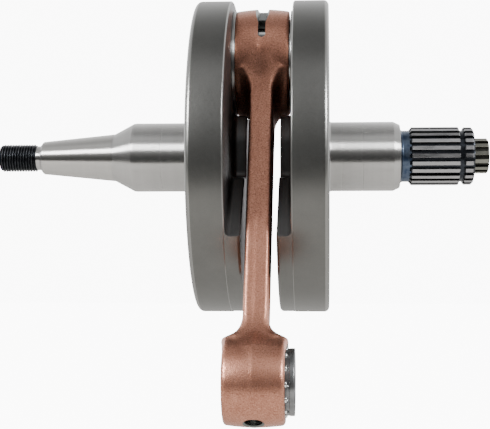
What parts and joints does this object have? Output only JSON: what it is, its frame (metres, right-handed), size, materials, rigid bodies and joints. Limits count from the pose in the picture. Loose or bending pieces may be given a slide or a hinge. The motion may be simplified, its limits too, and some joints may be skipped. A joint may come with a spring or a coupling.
{
  "type": "two-stroke engine crankshaft",
  "caption": "Built-up two-stroke crankshaft: full-circle webs, pressed crank pin, copper-plated connecting rod, caged roller bearings, tapered and splined shaft ends.",
  "frame": {"origin": "on the crank axis, midway between the two webs, in the crankcase's centre plane", "axes": "+X along the crank axis towards the drive side, +Z from the crank axis to the crank pin, -Y to the side the rod leans towards at rest"},
  "size_m": [0.1772, 0.1323, 0.1447],
  "materials": {
    "crank_steel": "bead-blasted rims and faces, ground journals, black oxide on thread and splines",
    "pin_steel": "ground",
    "washer_steel": "ground, bright",
    "cage_steel": "phosphated dark steel",
    "roller_steel": "polished",
    "copper_plated_steel": "matt copper plating over a shot-blasted forging"
  },
  "bodies": {
    "crank": {"ignition_side_half": "crank_steel", "drive_side_half": "crank_steel", "crank_pin": "pin_steel"},
    "rod": {"connecting_rod": "copper_plated_steel"},
    "big_end_bearing": {"big_end_cage": "cage_steel", "big_end_roller_01": "roller_steel", "big_end_roller_02": "roller_steel", "big_end_roller_03": "roller_steel", "big_end_roller_04": "roller_steel", "big_end_roller_05": "roller_steel", "big_end_roller_06": "roller_steel", "big_end_roller_07": "roller_steel", "big_end_roller_08": "roller_steel", "big_end_roller_09": "roller_steel", "big_end_roller_10": "roller_steel", "big_end_roller_11": "roller_steel", "big_end_roller_12": "roller_steel", "big_end_roller_13": "roller_steel", "big_end_roller_14": "roller_steel", "big_end_roller_15": "roller_steel", "big_end_roller_16": "roller_steel"},
    "ignition_washer": {"ignition_thrust_washer": "washer_steel"},
    "drive_washer": {"drive_thrust_washer": "washer_steel"},
    "small_end_bearing": {"small_end_cage": "cage_steel", "small_end_needle_01": "roller_steel", "small_end_needle_02": "roller_steel", "small_end_needle_03": "roller_steel", "small_end_needle_04": "roller_steel", "small_end_needle_05": "roller_steel", "small_end_needle_06": "roller_steel", "small_end_needle_07": "roller_steel", "small_end_needle_08": "roller_steel", "small_end_needle_09": "roller_steel", "small_end_needle_10": "roller_steel", "small_end_needle_11": "roller_steel", "small_end_needle_12": "roller_steel", "small_end_needle_13": "roller_steel"}
  },
  "joints": [
    {"name": "rod_swing", "type": "hinge", "parent": "crank", "child": "rod", "pos_m": [0, 0, 0.034], "axis": [1, 0, 0], "continuous": true},
    {"name": "big_end_bearing_roll", "type": "hinge", "parent": "crank", "child": "big_end_bearing", "pos_m": [0, 0, 0.034], "axis": [1, 0, 0], "continuous": true},
    {"name": "ignition_washer_spin", "type": "hinge", "parent": "crank", "child": "ignition_washer", "pos_m": [0, 0, 0.034], "axis": [1, 0, 0], "continuous": true},
    {"name": "drive_washer_spin", "type": "hinge", "parent": "crank", "child": "drive_washer", "pos_m": [0, 0, 0.034], "axis": [1, 0, 0], "continuous": true},
    {"name": "small_end_bearing_spin", "type": "hinge", "parent": "rod", "child": "small_end_bearing", "pos_m": [-0.00024, -0.06212, -0.07447], "axis": [1, 0, 0], "continuous": true}
  ],
  "couplings": [
    {"joint": "big_end_bearing_roll", "follows": "rod_swing", "ratio": 0.57733}
  ]
}
